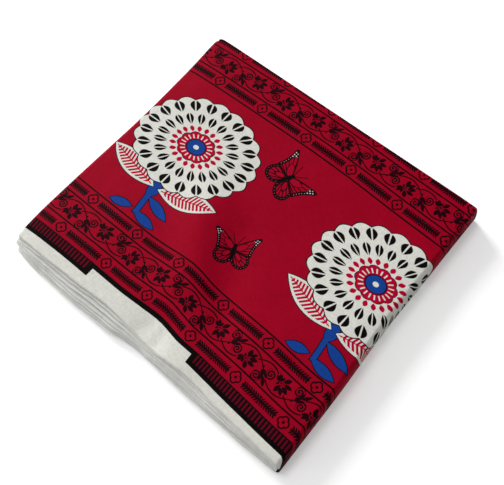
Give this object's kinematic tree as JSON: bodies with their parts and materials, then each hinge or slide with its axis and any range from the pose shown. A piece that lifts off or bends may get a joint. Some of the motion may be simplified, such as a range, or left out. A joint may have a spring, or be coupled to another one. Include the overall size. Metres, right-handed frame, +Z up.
{
  "type": "folded printed cotton cloth",
  "caption": "Length of printed cotton cloth folded into a flat oblong bundle, with fanned cream selvedges along its front and one broad fold at its end.",
  "frame": {"origin": "on the floor, at the middle of the bundle's box", "axes": "+X along the cloth's length towards the broad end fold, +Y across its width from the selvedges to the widthwise folds, +Z up"},
  "size_m": [0.353, 0.3178, 0.0284],
  "materials": {
    "outer_strip": "cotton wax print with a crimson ground and a slight sheen",
    "inner_layers": "folded edges of the same crimson cotton",
    "selvedge": "unprinted cream selvedge, matt"
  },
  "bodies": {
    "root": {"outer_strip": "outer_strip", "inner_layers": "inner_layers", "selvedge_leaf_1": "selvedge", "selvedge_leaf_2": "selvedge", "selvedge_leaf_3": "selvedge", "selvedge_leaf_4": "selvedge", "selvedge_leaf_5": "selvedge", "selvedge_leaf_6": "selvedge", "selvedge_leaf_7": "selvedge", "selvedge_leaf_8": "selvedge"}
  },
  "joints": []
}
